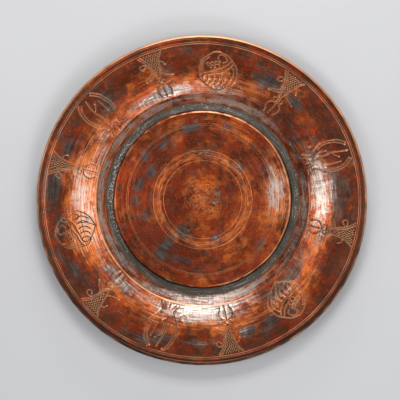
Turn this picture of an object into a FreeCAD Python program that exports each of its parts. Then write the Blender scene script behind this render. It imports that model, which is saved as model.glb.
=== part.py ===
import FreeCAD, Part
import math
import os
import re

import Sketcher

# A round copper tray with a raised centre plate, in millimetres. It lies flat, +Z is up, and the origin
# is the point on the table under its middle. Every piece is turned about the Z axis, so each is one closed
# section, given as corners (radius, height), or one ring.

SIZES = {
    # the tray's own sheet, from the hidden inner ledge out to the rolled edge
    "tray_diameter": 420,      # over the rolled edge
    "sheet_gauge": 1.2,        # thickness of the copper
    "ledge_radius": 103,       # the round hole under the centre plate
    "foot_radius": 123,        # the corner between the flat foot and the side
    "foot_bend": 3,            # inside radius of the bend at that corner
    "side_angle": 38,          # the side's slope, in degrees
    "crease_radius": 136,      # the ridge between the side and the flange
    "flange_angle": 26,        # the flange's slope at the ridge, in degrees
    "level_radius": 199,       # where the flange's curve has become level
    # the rolled edge and the wire in it
    "wire_diameter": 2.8,
    "wire_play": 0.05,         # clearance all round the wire
    "bead_rise": 1.0,          # how far the roll stands above the flange
    # the centre plate, a shallow pan lying upside down
    "plate_radius": 113.5,
    "plate_height": 9,         # its top above the table
    "plate_edge": 2.8,         # outside radius of its rounded edge
    "plate_bend": 2.2,         # outside radius of the bend into its foot
    "plate_foot": 9,           # width of the foot, turned inwards
    # the solder in the channel between the plate's skirt and the side
    "solder_play": 0.05,
    "seam_width": 1.1,         # the open seam beside the plate's edge
    "seam_floor": 2.6,         # height of the seam's bottom
    "solder_height": 4.8,
    "solder_lap": 1.0,         # how far the solder runs on to the side
    "solder_hollow": 16,       # radius of its hollow top
}

# Formulas on those names. A bend's run is the distance from its corner to where its arc begins.
SIDE = "side_angle * 1deg"
BEND_RUN = f"(foot_bend * tan({SIDE} / 2))"
SIDE_START = (f"foot_radius + {BEND_RUN} * cos({SIDE})", f"sheet_gauge + {BEND_RUN} * sin({SIDE})")
CREASE_LEVEL = f"(sheet_gauge + (crease_radius - foot_radius) * tan({SIDE}))"
FLANGE_CURVE = "((level_radius - crease_radius) / sin(flange_angle * 1deg))"
RIM_LEVEL = f"({CREASE_LEVEL} + {FLANGE_CURVE} * (1 - cos(flange_angle * 1deg)))"
WIRE_HOLE = "(wire_diameter / 2 + wire_play)"
BEAD_RADIUS = f"({WIRE_HOLE} + sheet_gauge)"
BEAD_MIDDLE = f"(tray_diameter / 2 - {BEAD_RADIUS})"
BEAD_LEVEL = f"({RIM_LEVEL} + bead_rise - {BEAD_RADIUS})"


def bound(formula):
    """The formula as an expression: each size's name is read from the sheet."""
    return re.sub(r"[a-z]+_[a-z]+", lambda name: "Sizes." + name.group(), formula)


def worked_out(sketch, formula):
    return float(sketch.evalExpression(bound(formula)))


def size_sheet(document):
    sheet = document.addObject("Spreadsheet::Sheet", "Sizes")
    for row, (name, value) in enumerate(SIZES.items(), start=1):
        sheet.set(f"A{row}", name)
        sheet.set(f"B{row}", str(value))
        sheet.setAlias(f"B{row}", name)
    document.recompute()


def arc(start, end, radius, turn, sweep):
    """An arc from start to end, with the numbers of its first and last points: a sketch's arcs all run
    anticlockwise, so one that turns right is entered from its own end."""
    chord = end - start
    across = FreeCAD.Vector(-chord.y, chord.x, 0) / chord.Length
    reach = math.sqrt(radius**2 - (chord.Length / 2) ** 2)
    centre_on_left = (turn == "left") == (sweep == "short")
    centre = (start + end) / 2 + across * (reach if centre_on_left else -reach)
    circle = Part.Circle(centre, FreeCAD.Vector(0, 0, 1), radius)
    angles = [math.atan2(point.y - centre.y, point.x - centre.x) for point in (start, end)]
    if turn == "left":
        return Part.ArcOfCircle(circle, *angles), 1, 2
    return Part.ArcOfCircle(circle, *reversed(angles)), 2, 1


def hold(sketch, kind, formula, *where):
    """Adds a constraint of that kind whose value is bound to the formula."""
    index = sketch.addConstraint(Sketcher.Constraint(kind, *where, worked_out(sketch, formula)))
    sketch.setExpression(f"Constraints[{index}]", bound(formula))


def hold_corner(sketch, edge, point, radius, height):
    """Holds a corner at its radius and height, or on the sketch's own axis where one of them is 0."""
    for kind, formula, own_axis in (("DistanceX", radius, -2), ("DistanceY", height, -1)):
        if formula == "0":
            sketch.addConstraint(Sketcher.Constraint("PointOnObject", edge, point, own_axis))
        else:
            hold(sketch, kind, formula, edge, point)


def turned_piece(document, label, outline):
    """A body turned about Z. outline lists its corners in order: (radius, height), then, where the edge to
    the next corner is round, (turn, radius, sweep), with turn left or right and sweep short or long."""
    body = document.addObject("PartDesign::Body", label)
    body.Label = label
    upright = next(plane for plane in body.Origin.OriginFeatures if plane.Role == "XZ_Plane")
    sketch = body.newObject("Sketcher::SketchObject", label + "_section")
    sketch.AttachmentSupport = [(upright, "")]
    sketch.MapMode = "FlatFace"

    places = [
        FreeCAD.Vector(worked_out(sketch, radius), worked_out(sketch, height), 0)
        for radius, height, *_ in outline
    ]
    edges = []
    for start, end, (_, _, *curve) in zip(places, places[1:] + places[:1], outline):
        if curve:
            turn, radius, sweep = curve[0]
            shape, first, last = arc(start, end, worked_out(sketch, radius), turn, sweep)
        else:
            shape, first, last = Part.LineSegment(start, end), 1, 2
        edges.append((sketch.addGeometry(shape, False), first, last))

    for number, (radius, height, *curve) in enumerate(outline):
        before, _, last = edges[number - 1]
        edge, first, _ = edges[number]
        sketch.addConstraint(Sketcher.Constraint("Coincident", before, last, edge, first))
        hold_corner(sketch, edge, first, radius, height)
        if curve:
            hold(sketch, "Radius", curve[0][1], edge)

    turned = body.newObject("PartDesign::Revolution", label + "_turned")
    turned.Profile = sketch
    turned.ReferenceAxis = (sketch, ["V_Axis"])
    turned.Angle = 360
    body.Tip = turned
    return body


def flange_body(document):
    """The tray: ledge, foot, side, flange, and the edge rolled over, round and under the wire, with its raw
    edge stopping just below the flange."""
    floor_end = f"foot_radius - {BEND_RUN}"
    side_radius, side_height = SIDE_START
    gauge_at_crease = "(sheet_gauge / cos((side_angle - flange_angle) / 2 * 1deg))"
    mean_angle = "((side_angle + flange_angle) / 2 * 1deg)"
    over_wire = f"({BEAD_MIDDLE} - sqrt({BEAD_RADIUS} ^ 2 - ({BEAD_RADIUS} - bead_rise) ^ 2))"
    beside_wire = f"({BEAD_MIDDLE} - sqrt({WIRE_HOLE} ^ 2 - ({WIRE_HOLE} - bead_rise) ^ 2))"
    return turned_piece(document, "flange_body", [
        ("ledge_radius", "sheet_gauge"),
        (floor_end, "sheet_gauge", ("left", "foot_bend", "short")),
        SIDE_START,
        ("crease_radius", CREASE_LEVEL, ("right", FLANGE_CURVE, "short")),
        ("level_radius", RIM_LEVEL),
        (over_wire, RIM_LEVEL, ("right", BEAD_RADIUS, "long")),
        (f"{BEAD_MIDDLE} - {BEAD_RADIUS}", BEAD_LEVEL),
        (f"{BEAD_MIDDLE} - {WIRE_HOLE}", BEAD_LEVEL, ("left", WIRE_HOLE, "long")),
        (beside_wire, f"{RIM_LEVEL} - sheet_gauge"),
        ("level_radius", f"{RIM_LEVEL} - sheet_gauge", ("left", f"{FLANGE_CURVE} - sheet_gauge", "short")),
        (f"crease_radius + {gauge_at_crease} * sin({mean_angle})",
         f"{CREASE_LEVEL} - {gauge_at_crease} * cos({mean_angle})"),
        (f"{side_radius} + sheet_gauge * sin({SIDE})", f"{side_height} - sheet_gauge * cos({SIDE})",
         ("right", "foot_bend + sheet_gauge", "short")),
        (floor_end, "0"),
        ("ledge_radius", "0"),
    ])


def centre_plate(document):
    """The raised plate: a pan upside down, its skirt turned inwards into a foot that lies on the ledge."""
    edge_start = "plate_radius - plate_edge"
    edge_end = "plate_height - plate_edge"
    bend_start = "plate_radius - plate_bend"
    bend_end = "sheet_gauge + plate_bend"
    inner_edge = "plate_edge - sheet_gauge"
    inner_bend = "plate_bend - sheet_gauge"
    return turned_piece(document, "centre_plate", [
        ("0", "plate_height"),
        (edge_start, "plate_height", ("right", "plate_edge", "short")),
        ("plate_radius", edge_end),
        ("plate_radius", bend_end, ("right", "plate_bend", "short")),
        (bend_start, "sheet_gauge"),
        ("plate_radius - plate_foot", "sheet_gauge"),
        ("plate_radius - plate_foot", "2 * sheet_gauge"),
        (bend_start, "2 * sheet_gauge", ("left", inner_bend, "short")),
        ("plate_radius - sheet_gauge", bend_end),
        ("plate_radius - sheet_gauge", edge_end, ("left", inner_edge, "short")),
        (edge_start, "plate_height - sheet_gauge"),
        ("0", "plate_height - sheet_gauge"),
    ])


def seam_solder(document):
    """The solder that fills the channel round the plate, low beside the skirt, where the seam stays open."""
    inside = "plate_radius + solder_play"
    beside_seam = f"{inside} + seam_width"
    return turned_piece(document, "seam_solder", [
        (inside, "sheet_gauge"),
        (inside, "seam_floor"),
        (beside_seam, "seam_floor"),
        (beside_seam, "solder_height", ("left", "solder_hollow", "short")),
        ("foot_radius + solder_lap", f"sheet_gauge + solder_lap * tan({SIDE})"),
        (*SIDE_START, ("right", "foot_bend", "short")),
        (f"foot_radius - {BEND_RUN}", "sheet_gauge"),
    ])


def rim_wire(document):
    """The iron wire in the rolled edge."""
    ring = document.addObject("Part::Torus", "rim_wire")
    ring.Label = "rim_wire"
    ring.setExpression("Radius1", bound(BEAD_MIDDLE))
    ring.setExpression("Radius2", bound("wire_diameter / 2"))
    ring.setExpression("Placement.Base.z", bound(BEAD_LEVEL))
    return ring


def checked(document, pieces):
    """Recomputes the document, and stops if any object or any piece's shape is broken."""
    document.recompute()
    for item in document.Objects:
        if "Invalid" in item.State or "Error" in item.State:
            raise RuntimeError(f"{item.Label} did not recompute: {item.State}")
    for piece in pieces:
        if piece.Shape.isNull() or not piece.Shape.isValid() or len(piece.Shape.Solids) != 1:
            raise RuntimeError(f"{piece.Label} is not one valid solid")
    return pieces


def main():
    document = FreeCAD.newDocument("CopperTray")
    size_sheet(document)
    pieces = checked(document, [
        flange_body(document),
        centre_plate(document),
        seam_solder(document),
        rim_wire(document),
    ])
    os.makedirs("parts", exist_ok=True)
    for piece in pieces:
        piece.Shape.exportStep(os.path.join("parts", piece.Label + ".step"))
        box = piece.Shape.optimalBoundingBox(False)
        print(f"{piece.Label}: {piece.Shape.Volume:.0f} mm3, z {box.ZMin:.2f} to {box.ZMax:.2f}, "
              f"across {box.XLength:.2f}")


main()
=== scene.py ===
import math
from collections import namedtuple

import bpy
import numpy as np
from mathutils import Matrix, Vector, kdtree, noise
from mathutils.geometry import delaunay_2d_cdt


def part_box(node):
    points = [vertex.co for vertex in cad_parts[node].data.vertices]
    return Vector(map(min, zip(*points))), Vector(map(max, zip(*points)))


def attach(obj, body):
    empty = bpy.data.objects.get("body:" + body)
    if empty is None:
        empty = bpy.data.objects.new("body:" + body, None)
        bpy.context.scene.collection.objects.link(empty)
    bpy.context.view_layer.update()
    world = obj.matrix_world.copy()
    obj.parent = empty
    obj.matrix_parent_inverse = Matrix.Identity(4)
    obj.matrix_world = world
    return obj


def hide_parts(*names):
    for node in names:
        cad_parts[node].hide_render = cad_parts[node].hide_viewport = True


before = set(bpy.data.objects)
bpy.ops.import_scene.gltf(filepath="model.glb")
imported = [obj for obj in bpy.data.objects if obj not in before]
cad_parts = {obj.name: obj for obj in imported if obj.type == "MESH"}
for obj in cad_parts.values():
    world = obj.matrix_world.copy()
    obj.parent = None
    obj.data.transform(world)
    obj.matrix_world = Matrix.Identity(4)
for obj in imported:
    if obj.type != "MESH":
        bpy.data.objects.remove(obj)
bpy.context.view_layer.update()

# ---- sizes
# All sizes and places are in millimetres, and angles on the tray are in degrees, clockwise from +Y as seen
# from above. Meshes are made in metres.
MM = 0.001


def node_box(node):
    return [Vector(corner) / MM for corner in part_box(node)]


tray_high = node_box("flange_body")[1]
plate_low, plate_high = node_box("centre_plate")
solder_high = node_box("seam_solder")[1]
wire_low, wire_high = node_box("rim_wire")

GAUGE = plate_low.z                      # the plate stands on the tray's sheet
RIM = tray_high.x
WIRE = (wire_high.z - wire_low.z) / 2    # radius of the wire
WIRE_MIDDLE = wire_high.x - WIRE         # radius of the ring that it makes
WIRE_LEVEL = (wire_high.z + wire_low.z) / 2
BEAD = RIM - WIRE_MIDDLE                 # outside radius of the roll
BEAD_RISE = 1.0                          # how far the roll stands above the flange
RIM_LEVEL = tray_high.z - BEAD_RISE

LEDGE = 103.0                            # the hidden hole under the plate
SOLDER_LAP = 1.0                         # how far the solder laps on the side
FOOT = solder_high.x - SOLDER_LAP        # corner between the flat foot and the side
SIDE_SLOPE = math.tan(math.radians(38))
CREASE = 136.0                           # ridge between the side and the flange
LEVEL = 199.0                            # where the flange has become level
FLANGE_CURVE = (LEVEL - CREASE) / math.sin(math.radians(26))

PLATE = plate_high.x
PLATE_TOP = plate_high.z
PLATE_EDGE = 2.8                         # outside radius of its rounded edge
PLATE_BEND = 2.2                         # outside radius of the bend under its skirt
PLATE_FOOT = 9.0                         # how far its foot reaches in from the skirt
SEAM = 1.15                              # width of the open seam beside the plate
SEAM_FLOOR = 2.6                         # height of the solder at the bottom of the seam
SOLDER_TOP = solder_high.z

ORNAMENT_FROM = 138.0                    # the flange's chased band
ORNAMENT_TO = 198.2
HAMMERED = (126, 206)                    # where the flange's rows of hammer marks start and end
SEAT_SHIFT = (0.9, 1.5)                  # of the seat's middle from the rim's, right and back
SEGMENTS = 576                           # steps round each turned form
SMOOTHED = 50                            # bends up to this, in degrees, are shaded smooth


# ---- form of the sheet
def smooth_max(first, second, width):
    """The larger of two heights, with the corner between them rounded."""
    share = np.clip(0.5 + 0.5 * (first - second) / width, 0, 1)
    return second + (first - second) * share + width * share * (1 - share)


def bump(value, middle, half_width):
    """1 at the middle, falling smoothly to 0 half_width away."""
    return np.clip(1 - ((value - middle) / half_width) ** 2, 0, 1) ** 2


def ramp(value, start, end):
    """0 before start, 1 after end, smooth between."""
    share = np.clip((value - start) / (end - start), 0, 1)
    return share * share * (3 - 2 * share)


def sheet_top(radius):
    """Height of the tray's upper face: flat foot, side, rounded ridge, and the flange's curve."""
    side = GAUGE + (radius - FOOT) * SIDE_SLOPE
    reach = np.clip(LEVEL - radius, 0, FLANGE_CURVE)
    flange = RIM_LEVEL - FLANGE_CURVE + np.sqrt(FLANGE_CURVE**2 - reach**2)
    ridge = 0.2 * np.exp(-((radius - CREASE - 0.4) / 0.8) ** 2)
    raised = -smooth_max(-side, -flange, 0.35) + ridge
    return smooth_max(raised, GAUGE + 0 * radius, 0.9)


def sheet_bottom(radius):
    """Height of the lower face, one gauge below the upper one, square to it."""
    step = 0.05
    slope = (sheet_top(radius + step) - sheet_top(radius - step)) / (2 * step)
    return np.maximum(sheet_top(radius) - GAUGE * np.sqrt(1 + slope**2), 0)


# ---- the hand in the work
def waves(angle, *terms):
    """A sum of cosines round the tray. Each term is (amplitude, waves in a turn, where its crest lies)."""
    return sum(size * np.cos(count * (angle - math.radians(crest))) for size, count, crest in terms)


def polar(points):
    """Each point's distance from the axis, and its direction in radians, clockwise from +Y."""
    x, y = points[:, 0], points[:, 1]
    return np.hypot(x, y), np.arctan2(x, y)


def hand_made(points):
    """Moves points as the real tray is out of true: the rim is not quite round or level, and the seat with
    its plate is not quite in the middle."""
    x, y, z = points.T
    radius, angle = polar(points)
    loose = np.clip((radius - FOOT) / (RIM - FOOT), 0, 1) ** 1.5
    outwards = loose * waves(angle, (0.35, 2, 150), (0.25, 3, 20), (0.15, 5, 75), (0.1, 7, 10))
    upwards = loose * waves(angle, (0.55, 2, 60), (0.35, 3, 200), (0.15, 5, 130))
    scale = 1 + outwards / np.maximum(radius, 1)
    seat = 1 - ramp(radius, CREASE - 8, LEVEL)
    right, back = SEAT_SHIFT
    return np.column_stack([x * scale + right * seat, y * scale + back * seat, z + upwards])


def rough(points, size, seed=0.0):
    """Smooth noise from -1 to 1 at each point, with features of about the size given."""
    return np.array([noise.noise(Vector((x / size, y / size, z / size + seed))) for x, y, z in points])


def hammer_marks(points, first_row, last_row, spacing, depth, seed):
    """How deep each point lies in the shallow hollows left by the hammer, which went round in rows."""
    random = np.random.default_rng(seed)
    blows = []
    for row in np.arange(first_row, last_row, spacing):
        count = round(2 * math.pi * row / spacing)
        steps = np.arange(count) + random.uniform(0, 1) + random.normal(0, 0.2, count)
        angle = steps * 2 * math.pi / count
        radius = row + random.normal(0, 0.2 * spacing, count)
        blows.append(np.column_stack([radius * np.sin(angle), radius * np.cos(angle)]))
    blows = np.vstack(blows)
    tree = kdtree.KDTree(len(blows))
    for index, (x, y) in enumerate(blows):
        tree.insert((x, y, 0), index)
    tree.balance()
    distance = np.array([tree.find((x, y, 0))[2] for x, y, _ in points])
    return depth * np.clip(1 - (distance / (0.75 * spacing)) ** 2, 0, 1)


# ---- chased ornament
# Each motif is drawn in its own frame: across, clockwise round the tray, and out, the distance from the
# tray's middle. A stroke is a smooth line through a few corners, cut with a punch of some half width to
# some depth, and dirt stays in the metal for some distance to each side of it.
Stroke = namedtuple("Stroke", "points half_width depth dirt")

# The kinds of stroke as (half width, depth, reach of the dirt).
LINE = (0.52, 0.36, 0.0)
FINE = (0.43, 0.30, 0.0)
HATCH = (0.30, 0.16, 0.85)
HATCH_SPACING = 2.7
HATCH_LEAN = 0.55                        # in radians, to each side
HATCH_SHINE = 0.32                       # how bright a hatch line is beside the other kinds
BURR = 0.7                               # reach of the burr beside a cut, in half widths
BURR_HEIGHT = 0.3                        # of the cut's depth
MARGIN = 2                               # how far outside a motif its marks are looked for
STATION = 0.9                            # distance between points along a stroke
WANDER = 0.8                             # how far the hand strays from the drawing
WANDER_SIZE = 11                         # over about what distance
AT_ONCE = 400                            # points measured against a motif in one go


def smooth_line(corners):
    """Points at every station along a Catmull-Rom curve through the corners."""
    corners = np.array(corners, float)
    first, last = 2 * corners[0] - corners[1], 2 * corners[-1] - corners[-2]
    padded = np.vstack([first, corners, last])
    along = np.linspace(0, 1, 16, endpoint=False)[:, None]
    spans = []
    for a, b, c, d in zip(padded, padded[1:], padded[2:], padded[3:]):
        curve = 2 * b + (c - a) * along + (2 * a - 5 * b + 4 * c - d) * along**2
        spans.append((curve + (3 * b - a - 3 * c + d) * along**3) / 2)
    dense = np.vstack([*spans, corners[-1:]])
    length = np.concatenate([[0], np.cumsum(np.linalg.norm(np.diff(dense, axis=0), axis=1))])
    stations = np.linspace(0, length[-1], max(2, round(length[-1] / STATION) + 1))
    return np.column_stack([np.interp(stations, length, dense[:, axis]) for axis in (0, 1)])


def stroke(corners, kind=LINE):
    return Stroke(smooth_line(corners), *kind)


def both_sides(strokes):
    """The strokes, and the same strokes mirrored."""
    return strokes + [line._replace(points=line.points * (-1, 1)) for line in strokes]


def hatching(half_width_at, low, high, lean):
    """Parallel slanting lines inside a form whose half width depends on the distance out."""
    strokes = []
    direction = np.array([math.sin(lean), math.cos(lean)])
    square = np.array([direction[1], -direction[0]])
    middle = np.array([0, (low + high) / 2])
    reach = (high - low) * 1.2
    for offset in np.arange(-reach / 2, reach / 2, HATCH_SPACING):
        along = np.arange(-reach, reach, 0.5)[:, None]
        points = middle + square * offset + direction * along
        across, out = points.T
        inside = (np.abs(across) < half_width_at(out)) & (out > low) & (out < high)
        if inside.sum() > 4:
            start, end = points[inside][[0, -1]]
            strokes.append(stroke([start, end], HATCH))
    return strokes


def cone_motif():
    """A cross-hatched cone from the rim, crossing into a stem, a knot and a three-petalled bud."""
    def cone(out):
        return np.interp(out, [168, 178, 190, 197.5], [0.6, 4.0, 8.0, 12.6]) - 0.8

    sides = both_sides([
        stroke([(-14.2, 197.8), (-8.6, 189.6), (-4.8, 178), (-1.8, 167.6), (1.2, 160.8)]),
        stroke([(0, 161.6), (-3.6, 162.2), (-6.2, 159.8), (-4.6, 157), (-1.4, 157.8)], FINE),
        stroke([(-0.8, 156.2), (-6.6, 152.8), (-9, 146.8), (-6.2, 140.2)]),
        stroke([(-3.4, 171.6), (-7, 168.6), (-11.6, 166.4), (-16.4, 164.4)], FINE),
    ])
    one_sided = [
        stroke([(-16.6, 196.4), (-11, 188.6), (-7.2, 178), (-4.2, 168.4), (-1.4, 162.4)], FINE),
        stroke([(-5.6, 175.2), (-9.4, 170.8), (-13.4, 169.2), (-17.2, 165.4)], FINE),
        stroke([(-9, 183.4), (-12.6, 186.6), (-16.8, 186), (-18, 182.4), (-15.2, 180.2),
                (-12.8, 182)], FINE),
        stroke([(7.8, 185), (11.2, 183.6), (12.6, 180.6)], FINE),
        stroke([(0, 156.4), (0.2, 147.6), (-0.4, 139.2)]),
    ]
    netting = hatching(cone, 170, 197.4, HATCH_LEAN) + hatching(cone, 170, 197.4, -HATCH_LEAN)
    return sides + one_sided + netting


def leaf_motif():
    """A broad pointed leaf, point inwards, split by an S-shaped ribbon. Comma strokes hang from the ribbon
    towards the point, and curls fill the other half."""
    outline = [
        stroke([(-1.6, 140.6), (-8.4, 144.3), (-16.6, 149.2), (-22.4, 155), (-23.6, 163), (-22.4, 174.6),
                (-18, 182), (-10, 188.2), (-1.6, 190.6)]),
        stroke([(-1.6, 140.6), (11.2, 146), (19, 151.6), (23.2, 159.4), (22.6, 170), (17.8, 178.8),
                (9.6, 186.4), (-1.6, 190.6)]),
        stroke([(-20.4, 160.6), (-21, 168), (-18.6, 176.4), (-13.4, 182.6)], FINE),
    ]
    ribbon = [
        stroke([(16.4, 175), (11.8, 169.6), (6, 166.2), (-5.8, 162.2), (-14.2, 160.2), (-18.4, 157),
                (-18, 152.6), (-15.6, 149.2)]),
        stroke([(15, 179.6), (9.8, 174.4), (2.8, 170.9), (-8.2, 165.6), (-16.2, 162.8), (-22.6, 159.6)]),
    ]
    inner_half = [
        stroke([(16.6, 171.4), (19.8, 165.2), (18.6, 159.8), (15, 157.4), (12.4, 161.6),
                (13.4, 165.4)], FINE),
        stroke([(7, 158), (4.6, 149.6), (1, 144.6), (-1.6, 140.6)], FINE),
    ]
    for step in range(5):
        across = 15 - 6.8 * step
        inwards = -0.4 * step
        inner_half.append(stroke([(across - 1.6, 161.4 + inwards), (across, 158), (across - 0.2, 153.8),
                                  (across - 2.4, 150.4), (across - 5.4, 147.4 - inwards)]))
    outer_half = [
        stroke([(5.4, 177.4), (9.4, 180), (6.6, 185.4), (0.6, 187), (-1.6, 182), (1, 178)], FINE),
    ]
    for step in range(3):
        across = -2.4 - 5 * step
        out = 174.2 - 1.8 * step
        outer_half.append(stroke([(across + 2.6, out - 1), (across + 1.4, out + 3), (across - 2, out + 4.4),
                                  (across - 3.2, out + 1.6), (across - 1, out + 0.4)], FINE))
    return outline + ribbon + inner_half + outer_half


def vase_motif():
    """A tall vase of double lines, narrow at the waist, on spreading roots, with a scroll at its left."""
    walls = both_sides([
        stroke([(-11.4, 196.2), (-15.6, 190.4), (-18.4, 184), (-19.8, 175.4), (-19.2, 167.4), (-16.2, 161),
                (-12, 155), (-8.4, 150.2), (-8, 146), (-12.6, 139.4)]),
        stroke([(-9.4, 194), (-13.2, 188.4), (-15.8, 182), (-17, 174), (-16.4, 167), (-13.2, 160.6)], FINE),
        stroke([(-4.4, 144.8), (-6.6, 141.8), (-8.6, 139)], FINE),
    ])
    inside = [
        stroke([(-0.8, 193.4), (-2.4, 185.6), (-4, 176.8), (-3, 168), (-3, 160), (-2.8, 154.8)]),
        stroke([(10.6, 181.4), (9.8, 173.6), (9.6, 165.6)], FINE),
        stroke([(-8.6, 167.4), (-8.6, 161)], FINE),
        stroke([(3.6, 182), (-0.8, 177.4)], FINE),
        stroke([(2.6, 161.8), (-1.8, 157.6)], FINE),
        stroke([(0.4, 145), (0.2, 139)], FINE),
        stroke([(-25.4, 149.8), (-21.2, 148), (-18, 150.6), (-18.6, 155), (-22, 156)], FINE),
    ]
    return walls + inside


# Each motif on the flange as (drawing, angle, how far its top leans clockwise, -1 where it is mirrored).
ORNAMENT = [
    (leaf_motif, 7, 0, 1), (cone_motif, 37, 0.03, 1), (vase_motif, 70.5, -0.02, 1),
    (cone_motif, 103, -0.03, 1), (leaf_motif, 139.5, 0, 1), (cone_motif, 168.5, 0, -1),
    (vase_motif, 197.5, 0.03, 1), (cone_motif, 226.5, -0.02, -1), (leaf_motif, 257.4, 0, 1),
    (cone_motif, 285, 0.02, 1), (vase_motif, 311, 0, 1), (cone_motif, 341, -0.05, 1),
]


def placed(motif, angle, lean, side):
    """A motif's strokes in the tray's plane, a little uneven as drawn by hand."""
    turn = math.radians(angle)
    outwards = np.array([math.sin(turn), math.cos(turn)])
    clockwise = np.array([math.cos(turn), -math.sin(turn)])
    middle = (ORNAMENT_FROM + ORNAMENT_TO) / 2
    strokes = []
    for line in motif():
        drawn = np.column_stack([line.points, np.zeros(len(line.points))])
        wander = np.column_stack([rough(drawn, WANDER_SIZE, angle), rough(drawn, WANDER_SIZE, angle + 50)])
        across, out = (line.points + WANDER * wander).T
        across = side * across + lean * (out - middle)
        flat = out[:, None] * outwards + across[:, None] * clockwise
        radius = np.hypot(*flat.T)
        flat = flat[(radius > ORNAMENT_FROM + 0.7) & (radius < ORNAMENT_TO - 0.5)]
        if len(flat) > 1:
            strokes.append(line._replace(points=flat))
    return strokes


def chased_relief(points, motifs):
    """(height, cut, dirt) at each point: the height cut away or raised as a burr, how near the point is to
    the middle of a cut, which the shader paints bright as bare metal and painted highlight, and how near to
    hatching."""
    height, cut, dirt = np.zeros((3, len(points)))
    flat = points[:, :2]
    for strokes in motifs:
        starts = np.vstack([line.points[:-1] for line in strokes])
        ends = np.vstack([line.points[1:] for line in strokes])
        kinds = np.vstack([[line[1:]] * (len(line.points) - 1) for line in strokes])
        width, depth, spread = kinds.T
        low = np.minimum(starts, ends).min(axis=0) - MARGIN
        high = np.maximum(starts, ends).max(axis=0) + MARGIN
        near = np.flatnonzero(((flat > low) & (flat < high)).all(axis=1))
        for chunk in np.array_split(near, max(1, len(near) // AT_ONCE)):
            from_start = flat[chunk, None] - starts
            along = ends - starts
            share = np.clip((from_start * along).sum(-1) / np.maximum((along**2).sum(-1), 1e-9), 0, 1)
            away = np.linalg.norm(from_start - share[..., None] * along, axis=-1)
            beside = away / width
            groove = (depth * np.clip(1 - beside, 0, 1)).max(axis=1)
            burr = (BURR_HEIGHT * depth * np.clip(1 - np.abs(beside - 1) / BURR, 0, 1)).max(axis=1)
            height[chunk] += np.where(groove > 0.02, -groove, burr)
            shine = np.where(spread > 0, HATCH_SHINE, 1)
            nearness = np.clip(1 + BURR - beside, 0, 1 + BURR)
            cut[chunk] = np.maximum(cut[chunk], (shine * nearness).max(axis=1))
            dirt[chunk] = np.maximum(dirt[chunk], np.clip(1.4 * spread - away, 0, 1).max(axis=1))
    return height, cut, dirt


class Scatter:
    """Points in a plane, none closer to another than it asks for when it is added."""

    def __init__(self, cell):
        self.cell = cell
        self.cells = {}
        self.points = []

    def add(self, x, y, gap):
        column, row = int(x // self.cell), int(y // self.cell)
        for i in (column - 1, column, column + 1):
            for j in (row - 1, row, row + 1):
                for other_x, other_y in self.cells.get((i, j), ()):
                    if (x - other_x) ** 2 + (y - other_y) ** 2 < gap * gap:
                        return
        self.cells.setdefault((column, row), []).append((x, y))
        self.points.append((x, y))

    def add_rows(self, points, offset, gap):
        """Points beside a stroke, offset to each side of it."""
        along = np.gradient(points, axis=0)
        square = np.column_stack([along[:, 1], -along[:, 0]])
        square /= np.maximum(np.linalg.norm(square, axis=1), 1e-9)[:, None]
        for side in ((-1, 1) if offset else (1,)):
            for x, y in points + square * offset * side:
                radius = math.hypot(x, y)
                if ORNAMENT_FROM + 0.5 < radius < ORNAMENT_TO - 0.4:
                    self.add(x, y, gap)


def ornament_points(motifs):
    """Where the chased band needs points: along strokes, their edges and burrs, and evenly between."""
    free_gap = 1.5                       # from a point between strokes to any other
    free_spacing = 2.4
    scatter = Scatter(cell=1.6)
    strokes = [line for strokes in motifs for line in strokes]
    for offset, gap in ((0, 0.26), (1, 0.22), (1 + BURR, 0.18)):
        for line in strokes:
            scatter.add_rows(line.points, offset * line.half_width, gap)
    for row in np.arange(ORNAMENT_FROM + 1.6, ORNAMENT_TO - 1, free_spacing):
        count = round(2 * math.pi * row / free_spacing)
        for angle in (np.arange(count) + 0.5 * (round(row) % 2)) * 2 * math.pi / count:
            scatter.add(row * math.sin(angle), row * math.cos(angle), free_gap)
    return np.array(scatter.points)


# ---- meshes
def make_piece(name, vertices, faces, node, slot, material, **attributes):
    """A smooth-shaded mesh from points in millimetres, standing for the CAD node."""
    mesh = bpy.data.meshes.new(name)
    mesh.from_pydata((hand_made(vertices) * MM).tolist(), [], faces)
    for attribute, values in attributes.items():
        layer = mesh.attributes.new(attribute, "FLOAT", "POINT")
        layer.data.foreach_set("value", np.asarray(values, np.float32))
    mesh.shade_smooth()
    mesh.set_sharp_from_angle(angle=math.radians(SMOOTHED))
    mesh.materials.append(material)
    piece = bpy.data.objects.new(name, mesh)
    bpy.context.collection.objects.link(piece)
    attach(piece, "root")
    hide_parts(node)
    return piece


def turned(profile, segments=SEGMENTS):
    """Points of a turned form, ring by ring: one ring for each (radius, height) of the profile."""
    angle = np.arange(segments) * 2 * math.pi / segments
    rings = [
        np.column_stack([radius * np.cos(angle), radius * np.sin(angle), np.full(segments, height)])
        for radius, height in profile
    ]
    return np.vstack(rings)


def ring_faces(rings, segments=SEGMENTS, closed=False):
    """Quads between neighbouring rings, whose normals point out where the profile runs clockwise."""
    faces = []
    for ring in range(rings if closed else rings - 1):
        here = ring * segments
        beyond = (ring + 1) % rings * segments
        for step in range(segments):
            following = (step + 1) % segments
            faces.append((here + step, beyond + step, beyond + following, here + following))
    return faces


def arc(middle_radius, middle_height, radius, start, end, steps):
    """Corners along an arc of a profile. Angles are in degrees, anticlockwise from straight out."""
    for angle in np.radians(np.linspace(start, end, steps)):
        yield middle_radius + radius * math.cos(angle), middle_height + radius * math.sin(angle)


def with_grooves(radii, grooves):
    """The radii, with extra ones at the bottom and edges of each ring groove, and none crowding them."""
    kept = [
        radius for radius in radii
        if all(abs(radius - middle) > 1.8 * width for middle, width, _ in grooves)
    ]
    extra = [middle + side * width for middle, width, _ in grooves for side in (-1.5, -1, 0, 1, 1.5)]
    return sorted(kept + extra)


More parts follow.
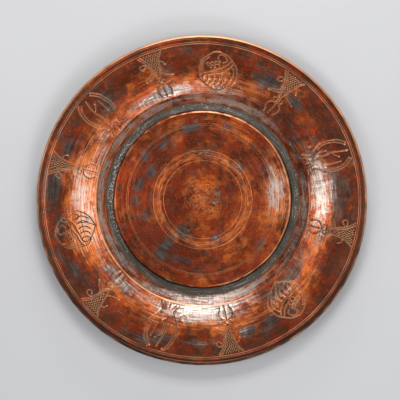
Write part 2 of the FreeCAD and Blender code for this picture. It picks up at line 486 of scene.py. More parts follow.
def groove_depth(radius, grooves):
    """Depth of the ring grooves at each radius."""
    return sum(
        depth * np.clip(1 - np.abs(radius - middle) / width, 0, 1)
        for middle, width, depth in grooves
    )


# Ring grooves as (radius, half width, depth).
RIM_GROOVES = [(199.5, 0.5, 0.22), (201.7, 0.45, 0.18)]
PLATE_GROOVES = [
    (42.5, 0.4, 0.08), (50.2, 0.45, 0.17), (53.0, 0.35, 0.08), (55.3, 0.4, 0.15), (57.6, 0.45, 0.16),
    (60.6, 0.35, 0.08), (63.4, 0.5, 0.17), (66.8, 0.4, 0.09), (72.5, 0.4, 0.06), (84.0, 0.4, 0.05),
    (95.6, 0.4, 0.15), (97.7, 0.4, 0.13), (104.0, 0.4, 0.07),
]


def upper_face(points, motifs):
    """Raises points of the tray's upper face to their height. Returns them, how near each is to the middle
    of a cut or to an edge painted with highlight, and how near to hatching."""
    radius, angle = polar(points)
    chased, cut, dirt = chased_relief(points, motifs)
    on_flange = ramp(radius, FOOT, CREASE) * (1 - ramp(radius, LEVEL + 2, LEVEL + 5))
    dents = hammer_marks(points, *HAMMERED, spacing=11, depth=0.075, seed=5) * on_flange
    swell = 0.10 * rough(points * (1, 1, 0), 26, seed=3) * on_flange
    rings = groove_depth(radius, RIM_GROOVES)
    height = sheet_top(radius) + chased - dents + swell - rings
    worn = 0.3 + 0.25 * rough(points * (1, 1, 0), 22, seed=15)
    # Painted highlight along the crease: random wear plus a share facing 235 degrees, where the ridge
    # catches the light. The foot's edge gets a lighter line of random strength.
    wear_and_light = worn + 0.35 * np.clip(np.cos(angle - math.radians(235)), 0, 1)
    edges = wear_and_light * bump(radius, CREASE + 0.5, 1.6) + worn * bump(radius, FOOT + 2.2, 1.2)
    cut = np.maximum(cut, np.maximum((1 + 6 * worn) * rings, edges))
    return np.column_stack([points[:, 0], points[:, 1], height]), cut, dirt


def tray_profile():
    """The tray's section as four runs of (radius, height): the upper face outside the chased band, the roll
    round the wire, the lower face, and the upper face inside the band. Upper heights are set later."""
    hole = BEAD - GAUGE
    roll_start = 180 - math.degrees(math.asin((BEAD - BEAD_RISE) / BEAD)) - 2
    beside_wire = WIRE_MIDDLE - math.sqrt(hole**2 - (RIM_LEVEL - GAUGE - WIRE_LEVEL) ** 2)
    rim_radii = with_grooves([ORNAMENT_TO, 200.6, 203, 204.2, 204.9], RIM_GROOVES)
    under_radii = [beside_wire, 204.8, *np.arange(203, CREASE + 4, -3), *np.arange(138, FOOT - 3, -1.4)]
    inner_radii = [LEDGE, 110, 116, 120, *np.arange(121.5, ORNAMENT_FROM + 0.1, 1.1)]
    upper_outside = [(radius, 0.0) for radius in rim_radii]
    roll = [
        *arc(WIRE_MIDDLE, WIRE_LEVEL, BEAD, roll_start, -180, 17),
        *arc(WIRE_MIDDLE, WIRE_LEVEL, hole, 180, 522, 9),
    ]
    lower = [(radius, float(sheet_bottom(np.array(radius)))) for radius in (*under_radii, 112, LEDGE)]
    upper_inside = [(radius, 0.0) for radius in inner_radii]
    return upper_outside, roll, lower, upper_inside


def band_faces(vertices, ring_count):
    """Triangles of the chased band, through the first ring, the last ring and the points after them."""
    inner = (ring_count - 1) * SEGMENTS
    border = [*range(SEGMENTS), *range(inner, inner + SEGMENTS)]
    band = border + list(range(ring_count * SEGMENTS, len(vertices)))
    loops = [
        (ring + step, ring + (step + 1) % SEGMENTS)
        for ring in (0, SEGMENTS)
        for step in range(SEGMENTS)
    ]
    flat = [Vector(vertices[index, :2]) for index in band]
    found = delaunay_2d_cdt(flat, loops, [], 0, 1e-5, False)
    if len(found[0]) != len(flat):
        raise RuntimeError("the chased band's points were merged or split")
    faces = []
    for triangle in found[2]:
        middle = sum((flat[corner] for corner in triangle), Vector((0, 0))) / 3
        if middle.length > ORNAMENT_FROM * math.cos(math.pi / SEGMENTS):
            faces.append(tuple(band[corner] for corner in triangle))
    return faces


def tray_wear(vertices, is_upper, cut, dirt):
    """The tray's attributes. Its bead is painted bright, wear and a painted highlight strongest at the back,
    and painted shade lies in its corner, deepest at the front.
    """
    radius = polar(vertices)[0]
    over_wire = vertices[:, 2] > WIRE_LEVEL
    # Rises from 0.3 at the back to 1.0 at the front; the bead's painted highlight falls with it and the
    # painted shade in its corner rises with it.
    from_back = 0.65 - 0.35 * vertices[:, 1] / radius
    rubbed_and_highlight = (0.75 - 0.5 * from_back + 0.2 * rough(vertices, 14, seed=41)) * ramp(radius, 206, 208.5)
    # The copper darkens from radius 158 to 190 mm: painted shade standing in for the outer flange's dark
    # reflection.
    tone = patches(vertices, FLANGE_TONE_AND_HIGHLIGHT) - 0.9 * ramp(radius, 158, 190)
    thin_tin = 0.42 * bump(radius, 144, 20) + 0.5 * bump(radius, 130, 8)
    tin = np.maximum(patches(vertices, FLANGE_TIN), thin_tin)
    return {
        "cut": np.maximum(cut, np.clip(rubbed_and_highlight, 0, 0.7) * over_wire),
        "dirt": np.maximum(dirt, from_back * ramp(radius, 202.4, 205) * over_wire),
        "tone": np.where(is_upper, tone, UNDERSIDE_TONE),
        "tin": np.where(is_upper, tin, UNDERSIDE_TIN),
        "line_shade": patches(vertices, FLANGE_LINE_SHADE),
    }


def make_tray(material):
    """The tray's sheet, one closed skin: chased face, rolled edge, hammered underside and hidden ledge."""
    motifs = [placed(*motif) for motif in ORNAMENT]
    upper_outside, roll, lower, upper_inside = tray_profile()
    profile = upper_outside + roll + lower + upper_inside
    extra = ornament_points(motifs)
    vertices = np.vstack([turned(profile), np.column_stack([extra, np.zeros(len(extra))])])

    ring_of = np.arange(len(vertices)) // SEGMENTS
    first_lower = len(upper_outside) + len(roll)
    first_inside = first_lower + len(lower)
    is_lower = (ring_of >= first_lower) & (ring_of < first_inside)
    is_upper = (ring_of < len(upper_outside)) | (ring_of >= first_inside)
    cut, dirt = np.zeros((2, len(vertices)))
    vertices[is_upper], cut[is_upper], dirt[is_upper] = upper_face(vertices[is_upper], motifs)
    below = vertices[is_lower]
    free = ramp(polar(below)[0], FOOT + 1, FOOT + 6)
    vertices[is_lower, 2] += hammer_marks(below, *HAMMERED, spacing=12, depth=0.16, seed=8) * free

    faces = ring_faces(len(profile)) + band_faces(vertices, len(profile))
    return make_piece("tray_sheet", vertices, faces, "flange_body", "tinned_copper", material,
                      **tray_wear(vertices, is_upper, cut, dirt))


def plate_reach(angle):
    """How far the plate's edge stands out past its skirt, closing the seam at the upper left."""
    closed = np.clip(0.5 + 0.9 * np.cos(angle - math.radians(335)), 0, 1)
    return 0.85 * closed + waves(angle, (0.26, 5, 40), (0.18, 9, 12), (0.12, 14, 77))


def plate_profile():
    """The plate's section as four runs of (radius, height): the top, the rounded edge, the skirt with its
    turned-in foot and its inner side, and the underside."""
    top_radii = with_grooves([0.8, 2.2, 4, *np.arange(6, PLATE - PLATE_EDGE, 1.5)], PLATE_GROOVES)
    top = [(radius, PLATE_TOP) for radius in top_radii]
    edge = list(arc(PLATE - PLATE_EDGE, PLATE_TOP - PLATE_EDGE, PLATE_EDGE, 90, 0, 9))
    skirt = [
        (PLATE, 5.0), (PLATE, 4.2), (PLATE, GAUGE + PLATE_BEND),
        *arc(PLATE - PLATE_BEND, GAUGE + PLATE_BEND, PLATE_BEND, -20, -90, 4),
        (PLATE - PLATE_FOOT, GAUGE), (PLATE - PLATE_FOOT, 2 * GAUGE), (PLATE - PLATE_BEND, 2 * GAUGE),
        (PLATE - GAUGE, GAUGE + PLATE_BEND), (PLATE - GAUGE, PLATE_TOP - PLATE_EDGE),
    ]
    under = [(radius, PLATE_TOP - GAUGE) for radius in (PLATE - PLATE_EDGE, *np.arange(108, 0, -6))]
    return top, edge, skirt, under


def make_plate(material):
    """The raised plate: turned upper face with ring grooves, rounded edge, skirt and turned-in foot."""
    top, edge, skirt, under = plate_profile()
    profile = top + edge + skirt + under
    segments = SEGMENTS * 3 // 4
    vertices = np.vstack([turned(profile, segments), (0, 0, PLATE_TOP), (0, 0, PLATE_TOP - GAUGE)])
    top_middle, under_middle = len(vertices) - 2, len(vertices) - 1

    level = vertices * (1, 1, 0)
    radius, angle = polar(vertices)
    index = np.arange(len(vertices))
    ring_of = index // segments
    is_top = (ring_of < len(top)) | (index == top_middle)
    is_edge = (ring_of >= len(top)) & (ring_of < len(top) + len(edge) + 1)
    is_under = ring_of >= len(profile) - len(under)

    low_side = bump(np.cos(angle - math.radians(77.35)), 1, 0.7)
    fall = 0.5 * ramp(radius, 60, PLATE) + 0.9 * ramp(radius, 55, PLATE) * low_side
    swell = 0.09 * rough(level, 30, seed=11) + 0.04 * rough(level, 9, seed=4)
    turning = 0.03 * np.sin(radius / 1.15 + 1.2 * np.sin(radius / 5)) * ramp(radius, 14, 30)
    dents = hammer_marks(vertices, 6, 110, spacing=10, depth=0.05, seed=21)
    grooves = groove_depth(radius, PLATE_GROOVES)
    vertices[is_top, 2] += (swell - fall - dents + turning - grooves)[is_top]
    vertices[is_edge, 2] -= fall[is_edge]
    vertices[is_under & ~is_top, 2] += (swell - fall - 0.1 * dents)[is_under & ~is_top]
    out = 1 + plate_reach(angle) * ramp(radius, PLATE - 9, PLATE) / np.maximum(radius, 1)
    spread = (is_top | is_edge) & (radius > 1)
    vertices[spread, :2] *= out[spread, None]

    faces = ring_faces(len(profile), segments)
    last = (len(profile) - 1) * segments
    for step in range(segments):
        following = (step + 1) % segments
        faces.append((top_middle, step, following))
        faces.append((under_middle, last + following, last + step))
    # Painted highlight along the plate's edge, strongest toward 75 degrees on the right, over random wear;
    # the ring grooves are painted bright through the same mask.
    wear_and_light = 0.4 + 0.3 * np.cos(angle - math.radians(75)) + 0.6 * rough(vertices * (1, 1, 0), 9, seed=44)
    rubbed_and_highlight = bump(radius, PLATE - 0.9, 2.4) * np.clip(wear_and_light, 0, 0.7)
    cut = np.maximum(3.1 * grooves * is_top, rubbed_and_highlight * (is_top | is_edge))
    # Painted shade on the lower part of the rounded edge and down the skirt, darker the lower it lies.
    dirt = ramp(PLATE_TOP - vertices[:, 2], 1.6, 3.2)
    tone = np.where(is_under, UNDERSIDE_TONE, patches(vertices, PLATE_TONE_AND_HIGHLIGHT) + plate_bands(radius))
    return make_piece("raised_plate", vertices, faces, "centre_plate", "scraped_copper", material,
                      cut=cut, dirt=dirt, tone=tone, tin=patches(vertices, PLATE_TIN_AND_HIGHLIGHT))


def solder_profile(lap):
    """The fillet's section as three runs of (radius, height): the seam beside the plate, the hollow slope
    from the seam's lip to the lap, and the hidden side."""
    inside = PLATE + 0.05
    lip = inside + SEAM
    lap_level = GAUGE + (lap - FOOT) * SIDE_SLOPE + 0.1
    share = np.linspace(0, 1, 20)[1:]
    hollow = 0.75 * 4 * share * (1 - share)
    slope = zip(lip + (lap - lip) * share, SOLDER_TOP + (lap_level - SOLDER_TOP) * share - hollow)
    seam = [(inside, GAUGE), (inside, SEAM_FLOOR), (lip - 0.2, SEAM_FLOOR), (lip - 0.1, SOLDER_TOP - 0.7)]
    face = [(lip, SOLDER_TOP - 0.1), (lip + 0.15, SOLDER_TOP), *slope]
    return seam, face, [(lap, lap_level - 0.6), (FOOT - 1, GAUGE)]


def make_solder(material):
    """The solder ring: a hollow, pitted fillet, open beside the plate, with a ragged outer lap."""
    lap = solder_high.x + 0.4
    seam, face, hidden = solder_profile(lap)
    profile = seam + face + hidden
    vertices = turned(profile)
    level = vertices * (1, 1, 0)
    ring_of = np.arange(len(vertices)) // SEGMENTS
    loose = (ring_of >= len(seam)) & (ring_of < len(seam) + len(face))
    radius = polar(vertices)[0]
    edge = ramp(radius, lap - 2.5, lap)
    ragged = edge * (1.2 * rough(level, 9, seed=30) + 0.7 * rough(level, 3, seed=31)) * loose
    lumps = sum(
        size * rough(vertices, reach, seed)
        for size, reach, seed in ((0.22, 7, 32), (0.16, 2.2, 33), (0.09, 0.9, 34))
    )
    vertices[:, :2] *= (1 + ragged / radius)[:, None]
    height = np.maximum(vertices[:, 2] + lumps * (1 - 0.8 * edge), sheet_top(radius + ragged) + 0.04)
    vertices[:, 2] = np.where(loose, height, vertices[:, 2])
    faces = ring_faces(len(profile), closed=True)
    # The seam's faces get painted shade.
    in_seam = np.where(ring_of <= len(seam), 1.0, 0.0)
    return make_piece("solder_ring", vertices, faces, "seam_solder", "old_solder", material,
                      dirt=in_seam, worn=patches(vertices, SOLDER_WEAR))


def make_wire(material):
    """The wire, which follows the rolled edge."""
    profile = list(arc(WIRE_MIDDLE, WIRE_LEVEL, WIRE, 0, -330, 12))
    vertices = turned(profile)
    faces = ring_faces(len(profile), closed=True)
    return make_piece("wire_ring", vertices, faces, "rim_wire", "iron_wire", material)


# ---- wear, painted highlight and painted shade
# Patches as (angle, radius, length round the tray, width, strength). Tone is the copper's: fresh and orange
# above 0, oxidised and brown below, and some tone patches are painted highlight. Tin is what is left of the
# tinning. Line shade is painted shade that darkens the chased lines' cores where they fall dark among the
# highlights.
UNDERSIDE_TONE = -0.6
UNDERSIDE_TIN = -0.3
FLANGE_TIN = [
    (181, 143, 120, 24, 1.25), (226, 148, 70, 16, 0.95), (136, 150, 70, 16, 0.9), (150, 146, 40, 13, 0.6),
    (213, 148, 40, 14, 0.6), (84, 152, 95, 26, 1.0), (86, 172, 66, 24, 0.95), (106, 158, 36, 18, 0.6),
    (62, 160, 30, 12, 0.5), (340, 144, 90, 14, 1.1), (8, 141, 70, 10, 0.7), (272, 154, 76, 26, 0.74),
    (29, 174, 32, 18, 1.1), (24, 170, 16, 14, 0.9), (43, 172, 26, 16, 1.0), (22, 190, 20, 12, 0.7),
    (276, 190, 46, 18, 1.1), (292, 182, 30, 14, 0.9), (241, 184, 34, 14, 0.9), (205, 190, 40, 12, 0.8),
    (262, 180, 24, 14, 0.9), (98, 186, 34, 16, 0.7), (345, 172, 30, 13, 0.6), (316, 174, 20, 28, 1.0),
    (150, 178, 36, 16, 0.9), (196, 182, 34, 14, 0.9), (160, 176, 20, 14, 1.0), (161, 176, 20, 14, 1.2),
    (180, 182, 54, 6, 1.0), (225, 152, 34, 10, 0.5), (250, 196, 26, 9, 0.5), (120, 172, 30, 10, 0.5),
    (355, 192, 22, 9, 0.5), (139, 176, 30, 18, 0.6), (74, 176, 22, 16, 0.5), (178, 129, 130, 9, 1.4),
    (20, 129, 150, 9, 0.85), (235, 129, 70, 8, 1.0), (325, 129, 60, 7, 0.7), (95, 129, 70, 8, 0.9),
]
# The patches near radius 155 at 8, 88, 180, 255 and 275 degrees are painted highlight: lighter copper where
# the lamps' highlights fall.
FLANGE_TONE_AND_HIGHLIGHT = [
    (255, 156, 42, 36, 1.7), (161, 176, 18, 14, 0.65), (180, 182, 54, 6, 0.9), (275, 155, 110, 40, 1.0),
    (180, 158, 150, 30, 0.5), (88, 152, 70, 30, 0.4), (8, 152, 70, 24, 0.7), (37, 186, 60, 20, 0.7),
    (335, 184, 60, 22, 0.6), (130, 172, 46, 26, 0.7), (210, 180, 50, 20, 0.3), (136, 148, 60, 16, -0.5),
    (290, 130, 230, 9, 1.1), (150, 130, 90, 9, 0.8), (90, 130, 60, 9, 0.5), (10, 130, 170, 12, 0.7),
    (50, 150, 60, 26, -0.7), (62, 180, 50, 30, -0.6), (110, 186, 80, 24, -0.8), (232, 180, 60, 24, -0.6),
    (262, 188, 60, 20, -0.7), (318, 170, 60, 34, -0.4), (165, 192, 90, 14, -0.5), (300, 190, 40, 20, -0.4),
]
# Painted shade: these patches darken the chased lines' cores in the flange's bright highlight zones.
FLANGE_LINE_SHADE = [
    (257, 160, 75, 50, 1.2), (280, 150, 40, 26, 0.9), (196, 158, 66, 54, 1.2), (168, 150, 50, 36, 1.2),
    (103, 152, 50, 40, 1.1), (311, 145, 40, 20, 0.8), (341, 150, 30, 20, 0.6), (7, 152, 40, 26, 0.8),
]
# The patch at 80 degrees lays polished tin over the painted highlight fan on the plate's right, to whiten
# it.
PLATE_TIN_AND_HIGHLIGHT = [
    (298, 74, 22, 14, 0.9), (283, 82, 20, 14, 0.9), (307, 92, 18, 12, 0.8), (268, 86, 20, 12, 0.7),
    (325, 88, 30, 14, 0.7), (350, 94, 30, 14, 0.9), (212, 46, 16, 20, 1.1), (218, 78, 15, 38, 1.1),
    (200, 82, 26, 8, 0.8), (48, 66, 18, 14, 0.7), (128, 94, 26, 10, 0.7), (62, 22, 10, 6, 0.9),
    (105, 17, 8, 6, 0.8), (20, 99, 16, 9, 0.9), (184, 92, 30, 7, 0.6), (80, 94, 70, 26, 0.72),
    (160, 52, 12, 8, 0.8), (255, 76, 16, 12, 0.6), (5, 62, 30, 12, 0.5),
]
# The patches at 85 and 78 degrees are painted highlight: lighter copper for the bright fan on the plate's
# right.
PLATE_TONE_AND_HIGHLIGHT = [
    (85, 96, 70, 34, 1.3), (78, 84, 50, 20, 0.7), (150, 78, 40, 16, 0.7), (10, 100, 60, 18, 0.3),
    (270, 82, 60, 34, -0.4), (215, 80, 80, 32, -0.8), (185, 84, 60, 24, -0.6), (110, 34, 40, 14, -0.5),
    (318, 82, 50, 30, -0.5), (255, 40, 34, 16, -0.7), (190, 40, 24, 16, 0.5),
]
SOLDER_WEAR = [
    (282, 117, 120, 7, 1.0), (300, 117, 60, 8, 0.8), (255, 117, 50, 5, 0.8), (320, 121, 60, 5, 0.5),
    (85, 121, 70, 5, 0.5), (0, 121, 70, 4, 0.4),
]


def patches(vertices, spots):
    """How far each vertex belongs to soft-edged patches, the strongest one at each place."""
    radius, angle = polar(vertices)
    total = np.zeros(len(vertices))
    for middle, ring, length, width, strength in spots:
        turn = (np.degrees(angle) - middle + 180) % 360 - 180
        along = np.radians(turn) * ring / (length * 0.5)
        across = (radius - ring) / (width * 0.5)
        spot = strength * np.exp(-0.7 * (along**2 + across**2))
        total = np.where(np.abs(spot) > np.abs(total), spot, total)
    return total


def plate_bands(radius):
    """The plate's tone in rings: bright middle, dark, bright, darkest, and a little lighter at the edge."""
    bright = 0.8 * bump(radius, 0, 40) + 0.65 * bump(radius, 58, 11) - 0.35
    return bright - 0.15 * bump(radius, 40, 10) - 0.3 * bump(radius, 82, 20)


# ---- materials
class Shader:
    """A material whose nodes are added one call at a time. A call takes numbers or other calls' results."""

    def __init__(self, name):
        self.material = bpy.data.materials.new(name)
        self.material.use_nodes = True
        self.tree = self.material.node_tree
        self.surface = self.tree.nodes["Principled BSDF"]
        place = self.add("ShaderNodeTexCoord", {}, "Object")
        self.place = self.vector("SCALE", {0: place, "Scale": 1 / MM})
        flat = self.vector("MULTIPLY", {0: self.place, 1: (1, 1, 0)})
        self.direction = self.vector("NORMALIZE", {0: flat})
        self.radius = self.vector("LENGTH", {0: flat}, "Value")

    def put(self, value, socket):
        """Links the socket to another node's result, or sets its number."""
        if isinstance(value, bpy.types.NodeSocket):
            self.tree.links.new(value, socket)
        else:
            socket.default_value = value

    def add(self, kind, inputs, output=0, **settings):
        node = self.tree.nodes.new(kind)
        for key, value in settings.items():
            setattr(node, key, value)
        for key, value in inputs.items():
            self.put(value, node.inputs[key])
        return node.outputs[output]

    def vector(self, operation, inputs, output=0):
        return self.add("ShaderNodeVectorMath", inputs, output, operation=operation)

    def sum(self, first, *others):
        for other in others:
            first = self.add("ShaderNodeMath", {0: first, 1: other}, operation="ADD")
        return first

    def times(self, first, second):
        return self.add("ShaderNodeMath", {0: first, 1: second}, operation="MULTIPLY")

    def weighed(self, *terms):
        """The sum of values, each multiplied by its weight."""
        return self.sum(*(self.times(value, weight) for value, weight in terms))

    def attribute(self, name):
        return self.add("ShaderNodeAttribute", {}, "Fac", attribute_name=name)

    def noise_at(self, place, scale, detail, roughness):
        inputs = {"Vector": place, "Scale": scale, "Detail": detail, "Roughness": roughness}
        return self.add("ShaderNodeTexNoise", inputs, "Fac")

    def noise(self, size, detail=2.0, roughness=0.5, seed=0.0):
        """Noise of about the size given, in millimetres, the same in every direction."""
        place = self.vector("ADD", {0: self.place, 1: (seed, seed, seed)})
        return self.noise_at(place, 1 / size, detail, roughness)

    def turned_noise(self, pitch, streaks, detail=2.0, roughness=0.5, seed=0.0):
        """Noise drawn out round the tray: pitch millimetres wide, and about 6 x streaks of it in a turn."""
        round_it = self.vector("SCALE", {0: self.direction, "Scale": streaks})
        across = self.times(self.radius, 1 / pitch)
        lift = self.add("ShaderNodeCombineXYZ", {"X": seed, "Y": -seed, "Z": across})
        return self.noise_at(self.vector("ADD", {0: round_it, 1: lift}), 1.0, detail, roughness)

    def step(self, value, low, high, start=0.0, end=1.0):
        """start below low, end above high, smooth between."""
        inputs = {"Value": value, "From Min": low, "From Max": high, "To Min": start, "To Max": end}
        return self.add("ShaderNodeMapRange", inputs, interpolation_type="SMOOTHSTEP")

    def mix(self, share, first, second):
        """A colour between two others. Sockets 6, 7 and output 2 are the mix node's colours."""
        return self.add("ShaderNodeMix", {0: share, 6: first, 7: second}, 2, data_type="RGBA")

    def raise_by(self, height, distance, strength, normal=None):
        inputs = {"Height": height, "Distance": distance * MM, "Strength": strength}
        if normal:
            inputs["Normal"] = normal
        return self.add("ShaderNodeBump", inputs)

    def finish(self, **inputs):
        for key, value in inputs.items():
            self.put(value, self.surface.inputs[key.replace("_", " ")])
        return self.material


COPPER = (0.79, 0.172, 0.025, 1)
BROWN_COPPER = (0.185, 0.036, 0.013, 1)
RED_COPPER = (0.4, 0.044, 0.011, 1)
BRIGHT_COPPER = (0.92, 0.52, 0.31, 1)
# Bare copper at burrs and rubbed edges, and painted highlight where they would catch light.
BURR_COPPER_AND_HIGHLIGHT = (1.0, 0.52, 0.27, 1)
TIN = (0.68, 0.585, 0.52, 1)
GREY_TIN = (0.155, 0.135, 0.125, 1)
DARK_TIN = (0.068, 0.058, 0.047, 1)
SMOKE = (0.085, 0.05, 0.03, 1)
SPOT = (0.11, 0.084, 0.078, 1)
# Dirt, and painted shade in corners, under the plate's edge and in the chased lines' cores.
DIRT_AND_SHADE = (0.03, 0.02, 0.014, 1)
SOLDER = (0.06, 0.055, 0.043, 1)
BROWN_SOLDER = (0.088, 0.062, 0.043, 1)
DARK_SOLDER = (0.03, 0.025, 0.02, 1)
LIGHT_SOLDER = (0.26, 0.24, 0.2, 1)
BARE_SOLDER = (0.62, 0.6, 0.55, 1)
VERDIGRIS = (0.05, 0.08, 0.055, 1)
# Painted shade for the open seam beside the plate.
SEAM_SHADE = (0.008, 0.007, 0.006, 1)
IRON = (0.08, 0.07, 0.065, 1)
RUST = (0.16, 0.06, 0.03, 1)


class Copper(Shader):
    """Copper and the marks on it: patches of three sizes, streaks and lines round the tray, and its tone,
    which also holds painted highlights.
    """

    def __init__(self, name):
        super().__init__(name)
        self.blotch = self.noise(30, detail=5, roughness=0.54, seed=4)
        self.mottle = self.noise(10, detail=4, roughness=0.55, seed=19)
        self.specks = self.noise(3.0, detail=4, roughness=0.8, seed=33)
        self.streak = self.turned_noise(6, 6, detail=4, roughness=0.6)
        self.lines = self.turned_noise(1.5, 4.0, detail=3, roughness=0.75, seed=9)
        self.tone = self.attribute("tone")


def bare_copper(s, smoke_share):
    """The copper's colour: oxide, red patches, light and dark lines, specks, smoke and spots, lighter where
    the tone holds painted highlight.
    """
    fresh = s.weighed((s.blotch, 0.36), (s.mottle, 0.30), (s.streak, 0.34), (s.tone, 0.09))
    colour = s.mix(s.step(fresh, 0.41, 0.57), BROWN_COPPER, COPPER)
    flush = s.noise(15, detail=4, roughness=0.55, seed=60)
    red = s.weighed((flush, 0.65), (s.streak, 0.35), (s.tone, -0.05))
    colour = s.mix(s.step(red, 0.46, 0.60, 0, 0.85), colour, RED_COPPER)
    colour = s.mix(s.step(s.lines, 0.34, 0.48, 0.75, 0), colour, BROWN_COPPER)
    colour = s.mix(s.step(s.specks, 0.36, 0.46, 0.45, 0), colour, BROWN_COPPER)
    light_lines = s.weighed((s.lines, 0.8), (s.tone, 0.11))
    colour = s.mix(s.step(light_lines, 0.44, 0.58, 0, 0.55), colour, BRIGHT_COPPER)
    colour = s.mix(s.step(s.specks, 0.54, 0.62, 0, 0.4), colour, COPPER)
    soot = s.noise(12, detail=4, roughness=0.6, seed=71)
    smoke = s.weighed((soot, 0.55), (s.streak, 0.25), (s.lines, 0.2), (s.tone, -0.06))
    colour = s.mix(s.step(smoke, 0.48, 0.62, 0, smoke_share), colour, SMOKE)
    spots = s.noise(9, detail=3, roughness=0.6, seed=88)
    return s.mix(s.step(spots, 0.60, 0.66, 0, 0.6), colour, SPOT)


def old_tin(s):
    """The tin's colour: dull mottled grey, and bright where fine crossed scratches polish it and where the
    tone holds painted highlight.
    """
    mottled = s.weighed((s.lines, 0.6), (s.mottle, 0.4))
    dull = s.mix(s.step(mottled, 0.42, 0.60), DARK_TIN, GREY_TIN)
    scratches = s.turned_noise(1.6, 9, detail=4, roughness=0.75, seed=27)
    crossing = s.turned_noise(16, 55, detail=3, roughness=0.6, seed=63)
    polished = s.weighed((scratches, 0.55), (crossing, 0.25), (s.tone, 0.22))
    return s.mix(s.step(polished, 0.36, 0.54), dull, TIN)


def worn_copper(name, tin_start, smoke_share, line_depth):
    """Scraped copper: oxide blotches, tin left in streaks, fine turned lines, dirt and painted shade in the
    cut lines and corners, and painted highlight on burrs and rubbed edges.
    """
    s = Copper(name)
    tin, dirt, cut, line_shade = (s.attribute(wear) for wear in ("tin", "dirt", "cut", "line_shade"))
    left = s.weighed((tin, 0.52), (s.streak, 0.6), (s.mottle, 0.6), (s.lines, 0.8), (s.specks, 0.6))
    has_tin = s.step(left, tin_start, tin_start + 0.36, 0, 0.94)
    colour = s.mix(has_tin, bare_copper(s, smoke_share), old_tin(s))
    # Dirt in the hatching; painted shade in the bead's corner and low on the plate's edge.
    colour = s.mix(s.step(dirt, 0.1, 0.9, 0, 0.85), colour, DIRT_AND_SHADE)
    # Burrs and rubbed edges in bright copper: bare metal, and painted highlight where they would catch
    # light.
    colour = s.mix(s.step(cut, 0.15, 0.6, 0, 0.8), colour, BURR_COPPER_AND_HIGHLIGHT)
    # Dark cores of the cut lines: dirt in the grooves, deepened as painted shade by the line-shade patches.
    line_core_dirt_and_shade = s.weighed((cut, 1), (line_shade, 0.45))
    colour = s.mix(s.step(line_core_dirt_and_shade, 0.88, 1.30, 0, 0.96), colour, DIRT_AND_SHADE)

    relief = s.raise_by(s.lines, line_depth, 0.6)
    relief = s.raise_by(s.turned_noise(3.6, 1.4, detail=2, seed=14), line_depth * 2.2, 0.5, relief)
    relief = s.raise_by(s.noise(2.0, detail=4, roughness=0.7, seed=50), 0.05, 0.4, relief)
    roughness = s.step(s.weighed((s.blotch, 0.6), (s.lines, 0.4)), 0.3, 0.7, 0.24, 0.42)
    roughness = s.sum(roughness, s.step(cut, 0.15, 0.6, 0, 0.14))
    return s.finish(Base_Color=colour, Metallic=0.9, Roughness=roughness, Normal=relief, Coat_Weight=0.08,
                    Coat_Roughness=0.3)


def old_solder(name):
    """Grey-green solder, pitted, with light worn grains, a little verdigris, and painted shade, near black,
    in the open seam.
    """
    s = Shader(name)
    grain = s.noise(1.9, detail=5, roughness=0.7)
    blotch = s.noise(9, detail=4, roughness=0.6, seed=8)
    streak = s.turned_noise(1.3, 5, detail=3, seed=3)
    dirt, worn = s.attribute("dirt"), s.attribute("worn")
    colour = s.mix(s.step(blotch, 0.38, 0.62), BROWN_SOLDER, SOLDER)
    grains = s.weighed((grain, 0.9), (worn, 0.10))
    colour = s.mix(s.step(grains, 0.555, 0.61, 0, 0.9), colour, BARE_SOLDER)
    colour = s.mix(s.step(s.noise(6, detail=4, seed=21), 0.6, 0.72, 0, 0.4), colour, VERDIGRIS)
    colour = s.mix(s.step(streak, 0.53, 0.64, 0, 0.7), colour, DARK_SOLDER)
    colour = s.mix(s.step(streak, 0.34, 0.44, 0.7, 0), colour, LIGHT_SOLDER)
    # Painted shade in the open seam beside the plate.
    colour = s.mix(s.step(dirt, 0.2, 0.8, 0, 0.95), colour, SEAM_SHADE)
    relief = s.raise_by(grain, 0.22, 0.7)
    roughness = s.step(blotch, 0.3, 0.7, 0.40, 0.60)
    return s.finish(Base_Color=colour, Metallic=0.35, Roughness=roughness, Normal=relief)


def iron(name):
    """Dark drawn wire with a little rust."""
    s = Shader(name)
    rust = s.noise(3, detail=4)
    colour = s.mix(s.step(rust, 0.45, 0.65), IRON, RUST)
    return s.finish(Base_Color=colour, Metallic=0.7, Roughness=s.step(rust, 0.4, 0.7, 0.45, 0.8),
                    Normal=s.raise_by(rust, 0.1, 0.5))


# ---- studio
def make_floor():
    """A plain pale floor under the tray."""
    bpy.ops.mesh.primitive_plane_add(size=12, location=(0, 0, -0.0003))
    floor = bpy.context.object
    floor.name = "floor"
    s = Shader("pale_floor")
    tone = s.noise(400, detail=2)
    colour = s.mix(s.step(tone, 0.3, 0.7), (0.66, 0.67, 0.69, 1), (0.69, 0.70, 0.72, 1))
    floor.data.materials.append(s.finish(Base_Color=colour, Roughness=0.85))


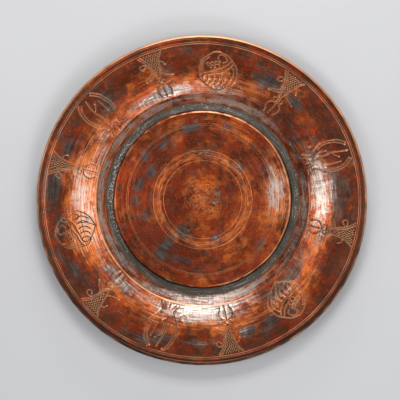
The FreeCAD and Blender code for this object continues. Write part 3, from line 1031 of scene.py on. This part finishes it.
def area_light(name, azimuth, height, distance, width, depth, power, colour):
    """A soft light that faces the tray. azimuth is clockwise from +Y, height is above the table."""
    data = bpy.data.lights.new(name, "AREA")
    data.shape = "RECTANGLE"
    data.size = width
    data.size_y = depth
    data.energy = power
    data.color = colour
    light = bpy.data.objects.new(name, data)
    turn, rise = math.radians(azimuth), math.radians(height)
    outwards = Vector((math.cos(rise) * math.sin(turn), math.cos(rise) * math.cos(turn), math.sin(rise)))
    light.location = distance * outwards
    light.rotation_euler = (-outwards).to_track_quat("-Z", "Y").to_euler()
    bpy.context.collection.objects.link(light)


def light_studio():
    """Five soft lights round the tray, the strongest behind it, in pale air."""
    lights = [
        ("light_back", 2, 48, 1.7, 0.75, 0.5, 12.5, (1.0, 0.98, 0.97)),
        ("light_low", 2, 17, 1.7, 0.8, 0.25, 6, (1.0, 0.98, 0.97)),
        ("light_left", 266, 61, 1.7, 0.5, 0.6, 4.5, (1.0, 0.98, 0.95)),
        ("light_right", 90, 56, 1.7, 0.8, 0.95, 5.0, (1.0, 0.98, 0.95)),
        ("light_front", 160, 48, 1.8, 0.8, 0.4, 5.5, (0.97, 0.98, 1.0)),
    ]
    for light in lights:
        area_light(*light)
    world = bpy.data.worlds.new("studio_air")
    world.use_nodes = True
    air = world.node_tree.nodes["Background"].inputs
    air["Color"].default_value = (0.94, 0.95, 0.98, 1)
    air["Strength"].default_value = 0.245
    bpy.context.scene.world = world


def make_camera():
    """The camera looks down on the tray, a little from its back edge. The tray fills most of the frame,
    just right of its middle."""
    distance = 1.75
    tilt = math.radians(4.5)
    frame_width = 0.507                  # of the scene, at the height of the rim
    target = Vector((-0.0025, 0.0027, tray_high.z * MM))
    data = bpy.data.cameras.new("camera")
    data.sensor_width = 36
    data.lens = data.sensor_width * distance / frame_width
    camera = bpy.data.objects.new("camera", data)
    camera.location = target + distance * Vector((0, math.sin(tilt), math.cos(tilt)))
    camera.rotation_euler = (-tilt, 0, 0)
    bpy.context.collection.objects.link(camera)
    bpy.context.scene.camera = camera


make_camera()
light_studio()
make_floor()
make_tray(worn_copper("tinned_copper", 1.44, 0.7, 0.16))
make_plate(worn_copper("scraped_copper", 1.42, 0.35, 0.22))
make_solder(old_solder("old_solder"))
make_wire(iron("iron_wire"))
bpy.context.scene.view_settings.view_transform = "Standard"
